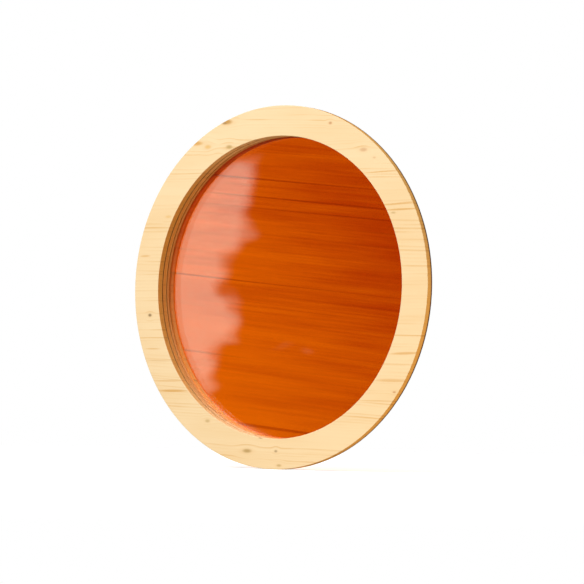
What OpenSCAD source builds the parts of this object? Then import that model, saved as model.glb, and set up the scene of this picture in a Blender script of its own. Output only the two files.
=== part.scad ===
// Round window with a wooden frame and a tinted sealed glazing unit.
// The window's axis lies along Y. The front faces -Y, Z is up, and the
// origin is on the axis at the wall plane, where the wall seal meets the
// wall. The glazing ring goes through the wall towards +Y.

/* [Front ring] */
// Outer diameter of the front ring, the largest size of the window
front_od = 800; // [400:10:1200]
// Width of the front ring's face, from its edge to the clear hole
face_w = 67; // [66:1:100]
// Thickness of the front ring's board
front_t = 15; // [12:0.5:24]
// Radius of the rounded arrises on the front and rear rings
arris_r = 1; // [0.5:0.25:3]

/* [Seals] */
// Thickness of the dark seals behind the front ring
seal_t = 3; // [2:0.5:5]
// How far the seals stay clear of the edges of the front and glazing rings
seal_inset = 1; // [0.5:0.5:3]

/* [Glazing ring] */
// How far the front ring's edge stands out past the glazing ring, over the wall
flange_w = 35; // [20:1:38]
// Visible depth of the glazing ring in front of its rebate
shoulder_t = 11; // [8:1:60]
// Wood left between the rebate and the glazing ring's outer surface
rebate_wall = 18; // [12:0.5:22]

/* [Glazing] */
// Thickness of each pane
pane_t = 4; // [3:0.5:6]
// Gap between the two panes
cavity_t = 8; // [6:1:16]
// Gap between the panes' edge and the rebate's wall
edge_gap = 3; // [2:0.5:4]
// Width of the edge spacer between the panes
spacer_w = 5; // [4:0.5:7]
// How far the spacer and the tapes stay behind the edge of the clear hole
sight_inset = 1; // [0.5:0.5:2]
// Thickness of each glazing tape
tape_t = 2; // [1:0.5:3]
// Angle that each setting or location block covers
block_angle = 14; // [8:1:20]
// Angle from the lowest point to each setting block
setting_angle = 30; // [20:1:40]
// Angle from the highest point to each location block
location_angle = 45; // [30:1:60]

/* [Rear ring] */
// Thickness of the rear retaining ring
rear_t = 15; // [12:0.5:24]
// How far the rear ring's edge stays inside the glazing ring's outer surface
rear_step = 2; // [1:0.5:4]

/* [Fixings] */
// Number of dowels, and of screws
fixing_count = 12; // [8:2:16]
// Diameter of the dowels that join the front ring to the glazing ring
dowel_d = 8; // [6:0.5:8]
// How deep the dowels go into the front ring
dowel_in_front = 9; // [6:0.5:10]
// How deep the dowels go into the glazing ring
dowel_in_glazing = 18; // [10:1:20]
// Diameter of the screw shanks
screw_d = 4; // [3:0.5:5]
// Diameter of the countersunk screw heads
screw_head_d = 8; // [6:0.5:10]
// Length of the screws
screw_l = 35; // [25:1:45]
// Width of the cross recess in each screw head
recess_w = 1; // [0.8:0.1:1.2]
// Length of the cross recess in each screw head
recess_l = 4; // [3:0.5:5]
// Depth of the cross recess in each screw head
recess_h = 1.5; // [1:0.1:2]

/* [Fits] */
// Clearance around the dowels, screws, blocks and spacer
fit_gap = 0.1; // [0.05:0.05:0.3]
// Room left past the end of a dowel
end_gap = 1; // [0.5:0.5:2]

/* [Hidden] */
$fn = 180;

// Radii, from the outside in
front_r = front_od / 2;
body_r = front_r - flange_w;
rear_r = body_r - rear_step;
rebate_r = body_r - rebate_wall;
fixing_r = (rebate_r + body_r) / 2;
pane_r = rebate_r - edge_gap;
sight_r = front_r - face_w;
seat_r = sight_r + sight_inset;

// Places along the axis, from the front to the back
front_y = -front_t - seal_t;
outer_pane_y = shoulder_t + tape_t;
cavity_y = outer_pane_y + pane_t;
inner_pane_y = cavity_y + cavity_t;
rear_tape_y = inner_pane_y + pane_t;
rear_ring_y = rear_tape_y + tape_t;
rear_y = rear_ring_y + rear_t;

// Fixings
fixing_step = 360 / fixing_count;
dowel_front_y = -seal_t - dowel_in_front;
screw_tip_y = rear_y - screw_l;
screw_head_t = (screw_head_d - screw_d) / 2;

// Colours
pine = [0.96, 0.85, 0.66];
pine_shade = [0.78, 0.56, 0.34];
seal_black = [0.12, 0.10, 0.09];
tape_brown = [0.50, 0.32, 0.18];
bronze = [0.58, 0.34, 0.16];
beech = [0.80, 0.62, 0.42];
orange_glass = [0.88, 0.36, 0.02, 0.8];
clear_glass = [0.80, 0.88, 0.90, 0.3];
block_blue = [0.30, 0.42, 0.55];
zinc = [0.72, 0.73, 0.75];

// A profile in (radius, place along the axis), turned about the window's axis
module turned() {
    rotate([-90, 0, 0])
        rotate_extrude()
            children();
}

// A plain flat ring, t thick, whose front face is at y
module flat_ring(inner_r, outer_r, y, t) {
    turned()
        translate([inner_r, y])
            square([outer_r - inner_r, t]);
}

// A round rod or disc along the axis, t long, whose front face is at y
module rod(r, y, t) {
    translate([0, y, 0])
        rotate([-90, 0, 0])
            cylinder(r = r, h = t);
}

// The profile of a ring from 0 to t, with rounded arrises at its 0 end
module arris_profile(inner_r, outer_r, t) {
    translate([inner_r + arris_r, 0])
        square([outer_r - inner_r - 2 * arris_r, t]);
    translate([inner_r, arris_r])
        square([outer_r - inner_r, t - arris_r]);
    for (r = [inner_r + arris_r, outer_r - arris_r])
        translate([r, arris_r]) circle(arris_r);
}

// Children at each fixing place, the first one turned by start degrees
module at_fixings(start) {
    for (i = [0 : fixing_count - 1])
        rotate([0, start + i * fixing_step, 0])
            translate([fixing_r, 0, 0])
                children();
}

// The holes for the dowels, t long from y
module dowel_holes(y, t) {
    at_fixings(0) rod(dowel_d / 2 + fit_gap, y, t);
}

// A countersunk screw on its own axis, with its radii grown by gap
module screw_shape(gap) {
    rod(screw_d / 2 + gap, screw_tip_y - gap, screw_l + gap);
    turned()
        polygon([
            [0, rear_y - screw_head_t],
            [screw_d / 2 + gap, rear_y - screw_head_t],
            [screw_head_d / 2 + gap, rear_y],
            [0, rear_y]
        ]);
}

// The holes for the screws
module screw_holes() {
    at_fixings(fixing_step / 2) screw_shape(fit_gap);
}

// A glazing tape whose front face is at y
module glazing_tape(y) {
    color(tape_brown) flat_ring(seat_r, pane_r, y, tape_t);
}

// A block in the gap round the panes, centred at an angle from +X towards +Z
module packing_block(angle) {
    color(block_blue)
        rotate([-90, 0, 0])
            rotate([0, 0, -angle - block_angle / 2])
                rotate_extrude(angle = block_angle)
                    translate([pane_r + fit_gap, outer_pane_y])
                        square([edge_gap - 2 * fit_gap, rear_tape_y - outer_pane_y]);
}

module front_ring() {
    color(pine)
        difference() {
            turned()
                translate([0, front_y])
                    arris_profile(sight_r, front_r, front_t);
            dowel_holes(dowel_front_y - end_gap, dowel_in_front + 2 * end_gap);
        }
}

module wall_seal() {
    color(seal_black)
        flat_ring(body_r + seal_inset, front_r - seal_inset, -seal_t, seal_t);
}

module joint_seal() {
    color(seal_black)
        difference() {
            flat_ring(sight_r + seal_inset, body_r - seal_inset, -seal_t, seal_t);
            dowel_holes(-seal_t - end_gap, seal_t + 2 * end_gap);
        }
}

module glazing_ring() {
    color(pine_shade)
        difference() {
            flat_ring(sight_r, body_r, 0, rear_ring_y);
            rod(rebate_r, shoulder_t, rear_ring_y - shoulder_t + end_gap);
            dowel_holes(-end_gap, dowel_in_glazing + 2 * end_gap);
            screw_holes();
        }
}

module front_glazing_tape() {
    glazing_tape(shoulder_t);
}

module outer_pane() {
    color(clear_glass) rod(pane_r, outer_pane_y, pane_t);
}

module edge_spacer() {
    color(bronze) flat_ring(seat_r, seat_r + spacer_w, cavity_y, cavity_t);
}

module edge_sealant() {
    color(seal_black)
        flat_ring(seat_r + spacer_w + fit_gap, pane_r, cavity_y, cavity_t);
}

module inner_pane() {
    color(orange_glass) rod(pane_r, inner_pane_y, pane_t);
}

module setting_block_left() {
    packing_block(270 - setting_angle);
}

module setting_block_right() {
    packing_block(270 + setting_angle);
}

module location_block_left() {
    packing_block(90 + location_angle);
}

module location_block_right() {
    packing_block(90 - location_angle);
}

module rear_glazing_tape() {
    glazing_tape(rear_tape_y);
}

module rear_ring() {
    color(pine)
        difference() {
            turned()
                translate([0, rear_y])
                    mirror([0, 1])
                        arris_profile(sight_r, rear_r, rear_t);
            screw_holes();
        }
}

module joint_dowels() {
    color(beech)
        at_fixings(0)
            rod(dowel_d / 2, dowel_front_y, dowel_in_glazing - dowel_front_y);
}

module retaining_screws() {
    color(zinc)
        at_fixings(fixing_step / 2)
            difference() {
                screw_shape(0);
                for (turn = [0, 90])
                    rotate([0, turn, 0])
                        translate([-recess_l / 2, rear_y - recess_h, -recess_w / 2])
                            cube([recess_l, recess_h + end_gap, recess_w]);
            }
}

front_ring();
wall_seal();
joint_seal();
glazing_ring();
front_glazing_tape();
outer_pane();
edge_spacer();
edge_sealant();
inner_pane();
setting_block_left();
setting_block_right();
location_block_left();
location_block_right();
rear_glazing_tape();
rear_ring();
joint_dowels();
retaining_screws();
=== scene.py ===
"""Round window: the finish of every piece, with the floor, the lights and the camera.

Metres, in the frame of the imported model: the window's axis lies along Y, its front faces -Y and Z is up.
"""

from math import atan, cos, radians, sin

import bpy
from mathutils import Matrix, Vector


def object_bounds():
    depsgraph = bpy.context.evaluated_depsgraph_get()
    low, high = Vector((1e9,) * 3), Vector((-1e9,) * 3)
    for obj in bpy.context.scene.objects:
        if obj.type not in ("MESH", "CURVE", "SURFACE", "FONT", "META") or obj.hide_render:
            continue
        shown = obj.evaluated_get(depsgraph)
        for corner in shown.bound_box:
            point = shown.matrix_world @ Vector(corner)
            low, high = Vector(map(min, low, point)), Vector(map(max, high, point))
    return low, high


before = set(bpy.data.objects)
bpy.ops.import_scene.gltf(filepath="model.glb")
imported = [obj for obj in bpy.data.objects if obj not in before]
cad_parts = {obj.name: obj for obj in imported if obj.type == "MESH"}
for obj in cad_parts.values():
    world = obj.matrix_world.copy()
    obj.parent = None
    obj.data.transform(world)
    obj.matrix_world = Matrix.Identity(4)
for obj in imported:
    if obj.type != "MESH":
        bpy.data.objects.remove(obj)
cad_low, cad_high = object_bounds()

MM = 0.001
THROUGH = 1000.0       # an ellipse this thick goes through the whole window


def colour(red, green, blue, light=1.0):
    """A shader colour from display values of 0 to 255, divided by how much light falls on it."""
    def linear(value):
        value /= 255
        return value / 12.92 if value <= 0.04045 else ((value + 0.055) / 1.055) ** 2.4
    return tuple(linear(value) / light for value in (red, green, blue)) + (1.0,)


# ---------------------------------------------------------------- shader nodes

class Nodes:
    """The node tree of a material or a world, with a short call for each kind of node."""

    def __init__(self, owner):
        owner.use_nodes = True
        self.tree = owner.node_tree
        self.tree.nodes.clear()
        self.coordinates = self.add("ShaderNodeTexCoord").outputs
        self.place = self.coordinates["Object"]

    def feed(self, socket, value):
        """Links value to the socket if it is another node's output, or sets it there."""
        if isinstance(value, bpy.types.NodeSocket):
            self.tree.links.new(value, socket)
        else:
            socket.default_value = value

    def add(self, kind, inputs=None, **settings):
        node = self.tree.nodes.new(kind)
        for name, value in settings.items():
            setattr(node, name, value)
        for name, value in (inputs or {}).items():
            self.feed(node.inputs[name], value)
        return node

    def math(self, operation, *values):
        node = self.add("ShaderNodeMath", dict(enumerate(values)), operation=operation)
        return node.outputs[0]

    def plus(self, a, b):
        return self.math("ADD", a, b)

    def times(self, a, b):
        return self.math("MULTIPLY", a, b)

    def axes(self, vector):
        """The three numbers of a vector."""
        return self.add("ShaderNodeSeparateXYZ", {0: vector}).outputs

    def vector(self, x, y, z):
        return self.add("ShaderNodeCombineXYZ", {0: x, 1: y, 2: z}).outputs[0]

    def scaled(self, x, y, z):
        """The place, stretched along each axis."""
        inputs = {0: self.place, 1: (x, y, z)}
        return self.add("ShaderNodeVectorMath", inputs, operation="MULTIPLY").outputs[0]

    def distance(self, vector, middle=(0.0, 0.0, 0.0)):
        """How far a vector is from a point."""
        inputs = {0: vector, 1: middle}
        return self.add("ShaderNodeVectorMath", inputs, operation="DISTANCE").outputs["Value"]

    def noise(self, vector, detail=2.0, rough=0.5):
        """Noise from 0 to 1 with one feature in each unit of the vector."""
        inputs = {"Vector": vector, "Scale": 1.0, "Detail": detail, "Roughness": rough}
        return self.add("ShaderNodeTexNoise", inputs).outputs["Fac"]

    def random(self, x, y):
        """A random number from 0 to 1 for each pair of whole numbers."""
        node = self.add("ShaderNodeTexWhiteNoise", {"Vector": self.vector(x, y, 0.0)},
                        noise_dimensions="2D")
        return node.outputs["Value"]

    def ramp(self, value, start, end, low=0.0, high=1.0, kind="SMOOTHSTEP"):
        """A step from low at start to high at end."""
        inputs = {"Value": value, "From Min": start, "From Max": end, "To Min": low, "To Max": high}
        return self.add("ShaderNodeMapRange", inputs, interpolation_type=kind).outputs[0]

    def between(self, share, a, b):
        """A mix of two numbers, b by its share."""
        return self.add("ShaderNodeMix", {0: share, 2: a, 3: b}).outputs[0]

    def mix(self, share, a, b, blend="MIX"):
        """A mix of two colours, b by its share."""
        node = self.add("ShaderNodeMix", {0: share, 6: a, 7: b}, data_type="RGBA", blend_type=blend)
        return node.outputs[2]

    def spot(self, x, z, half_length, half_height, slope=0.0, core=0.0):
        """1 inside an ellipse seen along Y, falling to 0 at its edge."""
        inputs = {"Vector": self.place, "Location": (x, 0, z), "Rotation": (0, -atan(slope), 0),
                  "Scale": (half_length, THROUGH, half_height)}
        local = self.add("ShaderNodeMapping", inputs, vector_type="TEXTURE").outputs[0]
        return self.ramp(self.distance(local), core, 1.0, 1.0, 0.0)

    def bump(self, height, depth, strength):
        inputs = {"Height": height, "Distance": depth, "Strength": strength}
        return self.add("ShaderNodeBump", inputs).outputs[0]

    def shader(self, kind, inputs=None):
        """The shader that a node of this kind gives."""
        return self.add(kind, inputs).outputs[0]

    def principled(self, inputs):
        return self.shader("ShaderNodeBsdfPrincipled", inputs)

    def blend(self, share, a, b):
        """A mix of two shaders, b by its share."""
        return self.shader("ShaderNodeMixShader", {0: share, 1: a, 2: b})


class Material(Nodes):
    """A new material's node tree."""

    def __init__(self, name):
        self.material = bpy.data.materials.new(name)
        super().__init__(self.material)
        self.normal = self.coordinates["Normal"]

    def surface(self, shader):
        """The finished material, with this shader as its surface."""
        self.add("ShaderNodeOutputMaterial", {"Surface": shader})
        return self.material


# ---------------------------------------------------------------- wood

FACE_LIGHT = 1.25      # how much brighter than its colour the front of the window is lit
PINE = colour(251, 225, 180, FACE_LIGHT)
PINE_LATE = colour(230, 184, 118, FACE_LIGHT)
PINE_WARM = colour(245, 212, 160, FACE_LIGHT)
STAVE_W = 57 * MM      # width of the staves that the boards are glued up from
EDGE_GRAIN = (0.30, 0.22, 0.16, 1.0)   # how far the grain darkens the round edges

# The front ring's outer edge has its own colour, darker than its wood: painted shade, which fades in
# over these radii and turns to a painted shadow, darker still, over these places along Y, towards the seal
RIM_R = (380 * MM, 390 * MM)
RIM_REAR = (-8 * MM, -4 * MM)
RIM_SHADOW = colour(112, 66, 20)

AMBER = colour(196, 142, 52, FACE_LIGHT)
AMBER_LINE = colour(222, 165, 80, FACE_LIGHT)
HONEY = colour(236, 188, 108, FACE_LIGHT)
DARK = colour(112, 84, 46, FACE_LIGHT)
OLIVE = colour(190, 156, 92, FACE_LIGHT)
ROSY = colour(206, 150, 102, FACE_LIGHT)

# Knots on the front ring: x, z, half length, half height, colour, strength
KNOTS = (
    (-0.146, 0.369, 0.021, 0.008, AMBER, 1.0),
    (-0.230, 0.324, 0.022, 0.007, AMBER_LINE, 1.0),
    (-0.198, 0.315, 0.012, 0.006, HONEY, 0.9),
    (-0.138, 0.313, 0.012, 0.006, OLIVE, 0.9),
    (-0.152, 0.366, 0.010, 0.003, DARK, 0.5),
    (-0.236, 0.326, 0.009, 0.003, DARK, 0.4),
    (-0.307, 0.161, 0.012, 0.004, HONEY, 0.6),
    (0.138, 0.356, 0.006, 0.004, ROSY, 1.0),
    (0.227, 0.295, 0.014, 0.006, ROSY, 0.6),
    (0.256, 0.277, 0.006, 0.003, ROSY, 0.4),
    (0.308, 0.157, 0.009, 0.003, OLIVE, 0.6),
    (-0.355, -0.061, 0.007, 0.005, DARK, 0.9),
    (-0.185, -0.297, 0.009, 0.005, OLIVE, 0.6),
    (-0.036, -0.331, 0.009, 0.003, DARK, 0.8),
    (-0.073, -0.361, 0.017, 0.006, OLIVE, 1.0),
    (0.006, -0.360, 0.006, 0.004, DARK, 0.6),
    (0.015, -0.391, 0.009, 0.004, OLIVE, 0.7),
    (0.318, -0.227, 0.006, 0.003, ROSY, 0.9),
)

# Resin streaks on the front ring: x, z, half length, half height, slope, colour, strength
STREAKS = (
    (-0.372, 0.073, 0.020, 0.003, 0.02, AMBER_LINE, 0.7),
    (0.275, 0.246, 0.070, 0.002, 0.04, AMBER_LINE, 0.8),
    (0.330, 0.177, 0.060, 0.003, 0.07, AMBER_LINE, 0.6),
    (0.330, 0.164, 0.065, 0.003, 0.02, AMBER_LINE, 0.9),
    (0.345, -0.144, 0.055, 0.004, 0.03, AMBER_LINE, 0.8),
    (0.310, -0.202, 0.060, 0.005, 0.00, AMBER_LINE, 0.6),
    (-0.345, -0.137, 0.030, 0.002, 0.00, AMBER_LINE, 0.7),
    (-0.330, -0.164, 0.050, 0.001, -0.02, AMBER, 0.6),
    (-0.305, -0.209, 0.060, 0.002, 0.00, AMBER_LINE, 0.7),
    (-0.285, -0.231, 0.060, 0.004, 0.01, AMBER_LINE, 1.0),
)


def pine(name, pale, late, warm, end, side, seed, knots=(), streaks=(), rim=None):
    """Edge-glued pine with its grain along X.

    pale, late and warm colour the early wood, the growth rings and the darker staves. end and side
    colour the round edges where they cut across the grain and along it, and rim the edge of the
    largest radius. These edge colours hold painted shade for edges that turn away from the light on
    the front, and end also holds the real darker end grain. seed chooses the staves.
    """
    s = Material(name)
    x, y, z = s.axes(s.place)

    # The grain runs round each knot
    grain = z
    for knot_x, knot_z, length, height, _, _ in knots:
        near = s.spot(knot_x, knot_z, 3.0 * length, 4.5 * height)
        grain = s.math("MULTIPLY_ADD", s.times(s.plus(z, -knot_z), near), -0.75, grain)

    # Staves, each with its own tone, slope and ring width
    staves = s.math("MULTIPLY_ADD", z, 1 / STAVE_W, 0.37 + seed)
    stave = s.math("FLOOR", staves)
    tone = s.random(stave, seed)
    slope = s.random(stave, seed + 5.0)
    width = s.random(stave, seed + 9.0)
    joint = s.ramp(s.math("PINGPONG", staves, 0.5), 0.0, 0.006, 1.0, 0.0)

    # Growth rings, 110 to 200 in a metre: a soft start and a sharp end, each with its own strength
    wander = s.noise(s.vector(s.times(x, 3.0), s.times(stave, 7.3), s.times(z, 9.0)), 1.0)
    wander = s.times(s.plus(wander, -0.5), 0.016)
    lean = s.times(x, s.math("MULTIPLY_ADD", slope, 0.06, -0.012))
    rings = s.plus(s.plus(grain, wander), lean)
    rings = s.times(rings, s.math("MULTIPLY_ADD", width, 90.0, 110.0))
    line = s.random(s.math("FLOOR", rings), stave)
    across = s.math("FRACT", rings)
    late_wood = s.times(s.ramp(across, 0.25, 0.90), s.ramp(across, 0.92, 1.0, 1.0, 0.0))
    fading = s.noise(s.vector(s.times(x, 6.0), y, s.times(z, 70.0)), 2.0)
    late_wood = s.times(late_wood, s.math("POWER", line, 2.4))
    late_wood = s.times(late_wood, s.ramp(fading, 0.35, 0.65, 0.15, 0.95))

    # Fine fibres and slow changes of tone
    fibres = s.noise(s.scaled(22.0, 60.0, 1500.0), 3.0, 0.6)
    cloud = s.noise(s.vector(s.times(x, 4.0), s.times(y, 4.0), s.times(grain, 26.0)), 2.0)
    warmth = s.plus(s.times(tone, 0.45), s.ramp(cloud, 0.35, 0.75, 0.0, 0.45))

    face = s.mix(warmth, pale, warm)
    face = s.mix(late_wood, face, late)
    face = s.mix(s.times(joint, 0.25), face, late)
    face = s.mix(s.ramp(fibres, 0.30, 0.80, 0.0, 0.16), face, late)

    for streak_x, streak_z, length, height, tilt, tint, strength in streaks:
        shape = s.spot(streak_x, streak_z, length, height, tilt, 0.3)
        face = s.mix(s.times(shape, 0.8 * strength), face, tint)
    for knot_x, knot_z, length, height, tint, strength in knots:
        halo = s.spot(knot_x, knot_z, 1.9 * length, 2.0 * height)
        face = s.mix(s.times(halo, 0.35 * strength), face, late)
        heart = s.spot(knot_x, knot_z, length, height, 0.0, 0.25)
        face = s.mix(s.times(heart, 0.85 * strength), face, tint)

    # The round edges are darker: painted shade, as they turn away from the light on the front, and
    # darkest where they show end grain, which is also really darker
    normal_x, normal_y, _ = s.axes(s.normal)
    round_edge_shade = s.ramp(s.math("ABSOLUTE", normal_y), 0.35, 0.95, 1.0, 0.0)
    end_grain = s.ramp(s.math("ABSOLUTE", normal_x), 0.2, 0.9)
    edge = s.mix(end_grain, side, end)
    # The rim's colour is painted shade, and it darkens to a painted shadow towards the seal
    if rim:
        outermost = s.ramp(s.distance(s.scaled(1.0, 0.0, 1.0)), *RIM_R)
        edge = s.mix(outermost, edge, s.mix(s.ramp(y, *RIM_REAR), rim, RIM_SHADOW))
    grained = s.times(s.plus(late_wood, s.ramp(fibres, 0.3, 0.8, 0.0, 0.3)), 0.45)
    edge = s.mix(grained, edge, EDGE_GRAIN, "MULTIPLY")
    base = s.mix(round_edge_shade, face, edge)

    relief = s.plus(s.times(late_wood, 0.5), s.times(fibres, 0.5))
    rough = s.math("MULTIPLY_ADD", fibres, 0.22, 0.40)
    rough = s.math("MULTIPLY_ADD", late_wood, -0.08, rough)
    return s.surface(s.principled({
        "Base Color": base, "Roughness": rough, "Specular IOR Level": 0.35,
        "Normal": s.bump(relief, 0.12 * MM, 0.6)}))


def pine_front():
    # end and side are partly painted shade and partly the real darker end grain; rim is painted shade
    return pine("pine_front", PINE, PINE_LATE, PINE_WARM,
                end=colour(206, 146, 70), side=colour(236, 188, 136),
                seed=3.0, knots=KNOTS, streaks=STREAKS, rim=colour(222, 162, 76))


def pine_liner():
    # The same pine as the front ring, in darker, warmer colours: painted shade of the deep reveal
    return pine("pine_liner", colour(214, 150, 82), colour(168, 104, 46), colour(204, 140, 74),
                end=colour(208, 138, 66), side=colour(236, 188, 136), seed=11.0)


def pine_rear():
    knots = ((0.212, 0.284, 0.012, 0.006, ROSY, 0.8), (-0.340, 0.040, 0.007, 0.004, DARK, 0.8),
             (0.090, -0.338, 0.015, 0.006, OLIVE, 0.9), (-0.240, -0.255, 0.005, 0.003, ROSY, 0.8))
    return pine("pine_rear", PINE, PINE_LATE, PINE_WARM,
                end=colour(236, 202, 150), side=colour(232, 194, 138), seed=17.0, knots=knots)


def beech():
    """Beech dowels, with their grain along Y and short dark flecks."""
    s = Material("beech")
    fibres = s.noise(s.scaled(900.0, 40.0, 900.0), 3.0, 0.6)
    flecks = s.ramp(s.noise(s.scaled(1400.0, 260.0, 1400.0), 1.0), 0.60, 0.72)
    base = s.mix(fibres, colour(214, 172, 122), colour(186, 138, 90))
    base = s.mix(s.times(flecks, 0.6), base, colour(150, 100, 60))
    return s.surface(s.principled({
        "Base Color": base, "Roughness": s.math("MULTIPLY_ADD", fibres, 0.2, 0.45),
        "Normal": s.bump(fibres, 0.08 * MM, 0.5)}))


# ---------------------------------------------------------------- rubber, plastic and metal

def foam(name, base, pale, grain, rough):
    """Foam rubber or sealant: a dull grained surface with paler specks."""
    s = Material(name)
    cells = s.noise(s.scaled(grain, grain, grain), 3.0, 0.65)
    patches = s.noise(s.scaled(40.0, 40.0, 40.0), 2.0)
    tint = s.mix(s.ramp(cells, 0.45, 0.85, 0.0, 0.6), base, pale)
    tint = s.mix(s.ramp(patches, 0.4, 0.8, 0.0, 0.3), tint, pale)
    return s.surface(s.principled({
        "Base Color": tint, "Roughness": s.math("MULTIPLY_ADD", cells, 0.25, rough),
        "Normal": s.bump(cells, 0.15 * MM, 0.7)}))


def block_plastic():
    """Moulded packing blocks: a satin blue plastic with a fine eroded texture."""
    s = Material("block_plastic")
    texture = s.noise(s.scaled(1800.0, 1800.0, 1800.0), 2.0, 0.6)
    flow = s.noise(s.scaled(30.0, 90.0, 30.0), 2.0)
    base = s.mix(flow, colour(74, 104, 138), colour(92, 122, 154))
    return s.surface(s.principled({
        "Base Color": base, "Roughness": s.math("MULTIPLY_ADD", texture, 0.2, 0.38),
        "Normal": s.bump(texture, 0.03 * MM, 0.5)}))


def zinc_steel():
    """Zinc plated steel with a faint yellow cast and fine turning marks."""
    s = Material("zinc_steel")
    marks = s.noise(s.scaled(700.0, 2600.0, 700.0), 2.0, 0.6)
    cast = s.noise(s.scaled(90.0, 90.0, 90.0), 3.0)
    base = s.mix(s.ramp(cast, 0.35, 0.75), colour(206, 208, 210), colour(214, 204, 172))
    return s.surface(s.principled({
        "Base Color": base, "Metallic": 1.0,
        "Roughness": s.math("MULTIPLY_ADD", marks, 0.22, 0.26),
        "Normal": s.bump(marks, 0.02 * MM, 0.5)}))


# ---------------------------------------------------------------- glass

CLEAR_A, CLEAR_B = (0.97, 0.985, 0.975, 1.0), (0.985, 0.99, 0.985, 1.0)
CLEAR_SHADOW = (0.98, 0.99, 0.985, 1.0)

# A lit and a shaded copy of the orange tint, and its dark lines: painted light and shade of the space
# behind the glass
ORANGE_LIT = (0.93, 0.150, 0.001, 1.0)
ORANGE_SHADED = (0.50, 0.030, 0.0005, 1.0)
ORANGE_SHADE_LINE = (0.36, 0.016, 0.0005, 1.0)
ORANGE_PALE = (0.87, 0.62, 0.36, 1.0)
ORANGE_SHADOW = (0.92, 0.62, 0.30, 1.0)

# The orange pales outside a circle round this point, over these radii, and the pale edge
# fades away from the first of these heights up to the second
PALE_MIDDLE = (12.8 * MM, 0.0, 1.5 * MM)
PALE_R = (333.0 * MM, 336.5 * MM)
PALE_Z = (-190 * MM, 270 * MM)


def pane_surface(s, tint, shadow_tint):
    """Glass that bends and mirrors light, and that lets the lamps' light through in shadow_tint."""
    glass = s.principled({
        "Base Color": tint, "Transmission Weight": 1.0, "Roughness": 0.0, "IOR": 1.5})
    clear = s.shader("ShaderNodeBsdfTransparent", {"Color": shadow_tint})
    lamp_ray = s.add("ShaderNodeLightPath").outputs["Is Shadow Ray"]
    return s.surface(s.blend(lamp_ray, glass, clear))


def clear_glass():
    """Float glass with the faintest change of tone across it."""
    s = Material("clear_glass")
    cloud = s.noise(s.scaled(3.0, 3.0, 5.0), 2.0)
    return pane_surface(s, s.mix(cloud, CLEAR_A, CLEAR_B), CLEAR_SHADOW)


def orange_glass():
    """Streaky orange glass: bright at the lower left, deeper towards the upper right.

    The deepening is painted shade, as if the space behind the pane were darker at the upper right.
    The streaks and a few dark lines fall slightly towards the right: streaks in the glass, which also
    stand for the light and shade of boards behind the pane, painted into the tint. A narrow crescent
    along the left and lower left edge is pale.
    """
    s = Material("orange_glass")
    x, y, z = s.axes(s.place)
    falling = s.math("MULTIPLY_ADD", x, 0.10, z)
    streaks = s.noise(s.vector(s.times(x, 1.6), 0.0, s.times(falling, 22.0)), 3.0, 0.6)
    threads = s.noise(s.vector(s.times(x, 2.0), 3.0, s.times(falling, 190.0)), 2.0, 0.6)
    lines = s.noise(s.vector(s.times(x, 0.5), 6.0, s.times(falling, 75.0)), 1.0, 0.5)
    # Painted shade: the tint deepens towards the upper right and along the streaks
    depth = s.math("MULTIPLY_ADD", x, 0.9, s.math("MULTIPLY_ADD", z, 0.45, 0.42))
    depth = s.plus(depth, s.math("MULTIPLY_ADD", streaks, 0.9, -0.45))
    depth = s.plus(depth, s.math("MULTIPLY_ADD", threads, 0.45, -0.22))
    tint = s.mix(s.ramp(depth, 0.0, 1.0), ORANGE_LIT, ORANGE_SHADED)
    # Dark lines of painted shade, like the joints of boards behind the pane
    tint = s.mix(s.ramp(lines, 0.60, 0.68, 0.0, 0.6), tint, ORANGE_SHADE_LINE)
    pale = s.ramp(s.distance(s.scaled(1.0, 0.0, 1.0), PALE_MIDDLE), *PALE_R)
    pale = s.times(pale, s.ramp(z, *PALE_Z, 1.0, 0.0))
    return pane_surface(s, s.mix(pale, tint, ORANGE_PALE), ORANGE_SHADOW)


# ---------------------------------------------------------------- what each slot is made of

SEAL = (colour(58, 40, 26), colour(92, 66, 44))
# The glazing tape and the spacer are paler than such foam: painted light, which lifts the shade of the
# recesses they sit in to the brightness of the wood
TAPE_WITH_PAINTED_LIGHT = (colour(244, 196, 136), colour(250, 210, 156))
BRONZE_WITH_PAINTED_LIGHT = (colour(200, 132, 72), colour(214, 150, 92))
SEALANT = (colour(34, 33, 32), colour(58, 56, 54))
FINISHES = {
    "pine_front": pine_front,
    "pine_liner": pine_liner,
    "pine_rear": pine_rear,
    "beech": beech,
    "seal_rubber": lambda: foam("seal_rubber", *SEAL, 1500.0, 0.60),
    "glazing_tape": lambda: foam("glazing_tape", *TAPE_WITH_PAINTED_LIGHT, 2200.0, 0.55),
    "bronze_spacer": lambda: foam("bronze_spacer", *BRONZE_WITH_PAINTED_LIGHT, 2600.0, 0.45),
    "edge_sealant": lambda: foam("edge_sealant", *SEALANT, 300.0, 0.42),
    "block_plastic": block_plastic,
    "zinc_steel": zinc_steel,
    "clear_glass": clear_glass,
    "orange_glass": orange_glass,
}


def dress():
    """Gives each node the finish of its slot."""
    made = {}
    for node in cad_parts.values():
        slot = node.material_slots[0].material.name.split(".")[0]
        if slot not in made:
            made[slot] = FINISHES[slot]()
        node.material_slots[0].material = made[slot]


# ---------------------------------------------------------------- stage, lights and camera

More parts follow.
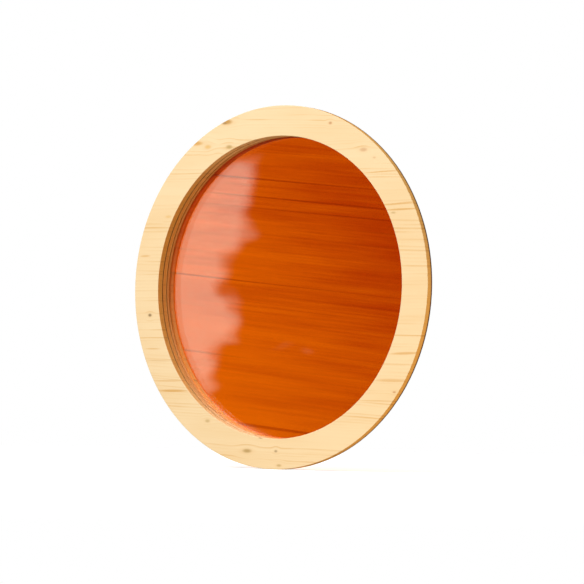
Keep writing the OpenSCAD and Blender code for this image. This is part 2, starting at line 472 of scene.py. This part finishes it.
CENTRE = (cad_low + cad_high) / 2
WALL_MIDDLE = Vector((CENTRE.x, 0.0, CENTRE.z))
SKY_ABOVE, SKY_BELOW = 0.80, 0.30      # what the surround gives to surfaces that face it
SKY_THROUGH, SKY_MIRRORED = 0.95, 0.10  # how bright it is seen through the panes, and mirrored
FLOOR_NEAR, FLOOR_FAR = 1.6, 3.2       # the floor fades into the surround between these radii
FLOOR_GLOW = 0.44      # the floor's own light, which keeps it white under the tinted shadow
CARD_Y = -3.4          # the reflection card stands this far in front of the window
CARD_LEFT, CARD_RIGHT = -4.4, -1.9
CARD_LOW, CARD_HIGH = -0.39, 1.6
CARD_GLOW = 1.5
CARD_TINT = (0.93, 1.08, 0.96, 1.0)
CARD_EDGE = (-2.84, -2.62)             # its glow ends between these places along X
CARD_WANDER = 1.8      # how far noise from 0 to 1 moves that edge
CARD_STEP = 0.25       # how much further left the edge is above CARD_STEP_Z
CARD_STEP_Z = (0.45, 0.75)


def plane(name, corners, material):
    mesh = bpy.data.meshes.new(name)
    mesh.from_pydata([tuple(corner) for corner in corners], [], [(0, 1, 2, 3)])
    mesh.materials.append(material)
    item = bpy.data.objects.new(name, mesh)
    bpy.context.scene.collection.objects.link(item)
    return item


def add_floor():
    """A pale floor that only the camera sees, so it neither lights the window nor shows in the panes."""
    s = Material("floor")
    cloud = s.noise(s.scaled(0.8, 0.8, 0.8), 2.0)
    base = s.mix(cloud, (0.78, 0.78, 0.775, 1.0), (0.80, 0.80, 0.795, 1.0))
    paint = s.principled({"Base Color": base, "Roughness": 0.9, "Specular IOR Level": 0.1,
                          "Emission Color": (1.0, 1.0, 1.0, 1.0), "Emission Strength": FLOOR_GLOW})
    fade = s.ramp(s.distance(s.scaled(1.0, 1.0, 0.0)), FLOOR_NEAR, FLOOR_FAR)
    faded = s.blend(fade, paint, s.shader("ShaderNodeBsdfTransparent"))
    half, z = FLOOR_FAR, cad_low.z
    floor = plane("floor", ((-half, -half, z), (half, -half, z), (half, half, z), (-half, half, z)),
                  s.surface(faded))
    floor.visible_diffuse = False
    floor.visible_glossy = False
    floor.visible_transmission = False
    floor.visible_shadow = False


def add_card():
    """A card that only reflections see. Its left part glows, up to a soft uneven edge."""
    s = Material("card")
    x, _, z = s.axes(s.place)
    uneven = s.noise(s.vector(s.times(x, 1.4), 0.0, s.times(z, 2.6)), 3.0, 0.55)
    shift = s.plus(x, s.ramp(z, *CARD_STEP_Z, -CARD_WANDER / 2, CARD_STEP - CARD_WANDER / 2))
    across = s.math("MULTIPLY_ADD", uneven, CARD_WANDER, shift)
    glow = s.times(s.ramp(across, *CARD_EDGE, 1.0, 0.0), CARD_GLOW)
    light = s.shader("ShaderNodeEmission", {"Color": CARD_TINT, "Strength": glow})
    card = plane("card", ((CARD_LEFT, CARD_Y, CARD_LOW), (CARD_RIGHT, CARD_Y, CARD_LOW),
                          (CARD_RIGHT, CARD_Y, CARD_HIGH), (CARD_LEFT, CARD_Y, CARD_HIGH)),
                 s.surface(light))
    card.visible_camera = False
    card.visible_diffuse = False
    card.visible_shadow = False


def towards(azimuth, elevation):
    """The direction at these angles, with azimuth 0 straight in front of the window."""
    return Vector((sin(azimuth) * cos(elevation), -cos(azimuth) * cos(elevation), sin(elevation)))


def add_lamp(name, azimuth, elevation, distance, size, power, tint=(1.0, 1.0, 1.0), mirrored=True):
    """A round soft lamp that faces the window. It is never seen, except in reflections if mirrored."""
    lamp = bpy.data.lights.new(name, "AREA")
    lamp.shape = "DISK"
    lamp.size = size
    lamp.energy = power
    lamp.color = tint
    away = towards(radians(azimuth), radians(elevation))
    item = bpy.data.objects.new(name, lamp)
    item.location = CENTRE + distance * away
    item.rotation_euler = away.to_track_quat("Z", "Y").to_euler()
    item.visible_camera = False
    item.visible_transmission = False
    item.visible_glossy = mirrored
    bpy.context.scene.collection.objects.link(item)


def add_world():
    """A pale surround that is bright behind the window and dim in what the surfaces mirror."""
    world = bpy.data.worlds.new("studio")
    s = Nodes(world)
    path = s.add("ShaderNodeLightPath").outputs
    up = s.axes(s.coordinates["Generated"])["Z"]
    soft = s.ramp(up, -0.5, 0.5, SKY_BELOW, SKY_ABOVE, "LINEAR")
    seen_through = s.ramp(path["Glossy Depth"], 0.0, 1.0, SKY_THROUGH, SKY_MIRRORED, "LINEAR")
    strength = s.between(path["Is Glossy Ray"], soft, SKY_MIRRORED)
    strength = s.between(path["Is Transmission Ray"], strength, seen_through)
    strength = s.between(path["Is Camera Ray"], strength, 1.0)
    light = s.shader("ShaderNodeBackground", {"Color": (1.0, 1.0, 1.0, 1.0), "Strength": strength})
    s.add("ShaderNodeOutputWorld", {"Surface": light})
    bpy.context.scene.world = world


CAMERA_AZIMUTH, CAMERA_ELEVATION, CAMERA_ROLL = radians(36.33), radians(-2), radians(1)
CAMERA_DISTANCE = 7.0
CAMERA_AIM = Vector((0.0293, 0.0, -0.0104))      # from the window's axis at the wall plane
CAMERA_LENS, CAMERA_SENSOR = 196.6, 36.0


def add_camera():
    """The camera, at its angles round the window and turned by its roll."""
    back = towards(CAMERA_AZIMUTH, CAMERA_ELEVATION)
    right = Vector((0, 0, 1)).cross(back).normalized()
    turn = Matrix((right, back.cross(right), back)).transposed()
    data = bpy.data.cameras.new("camera")
    data.lens = CAMERA_LENS
    data.sensor_width = CAMERA_SENSOR
    camera = bpy.data.objects.new("camera", data)
    turned = turn @ Matrix.Rotation(CAMERA_ROLL, 3, "Z")
    camera.matrix_world = Matrix.LocRotScale(WALL_MIDDLE + CAMERA_AIM + CAMERA_DISTANCE * back,
                                             turned.to_quaternion(), None)
    bpy.context.scene.collection.objects.link(camera)
    bpy.context.scene.camera = camera


add_camera()
dress()
add_floor()
add_card()
add_lamp("key", azimuth=-20, elevation=42, distance=6.0, size=3.0, power=352.0)
add_lamp("glow", azimuth=140, elevation=-2, distance=2.0, size=0.7, power=8.0, mirrored=False)
add_lamp("bounce", azimuth=62, elevation=-40, distance=2.4, size=0.9, power=26.0,
         tint=(1.0, 0.70, 0.26), mirrored=False)
add_world()
bpy.context.scene.view_settings.view_transform = "Standard"
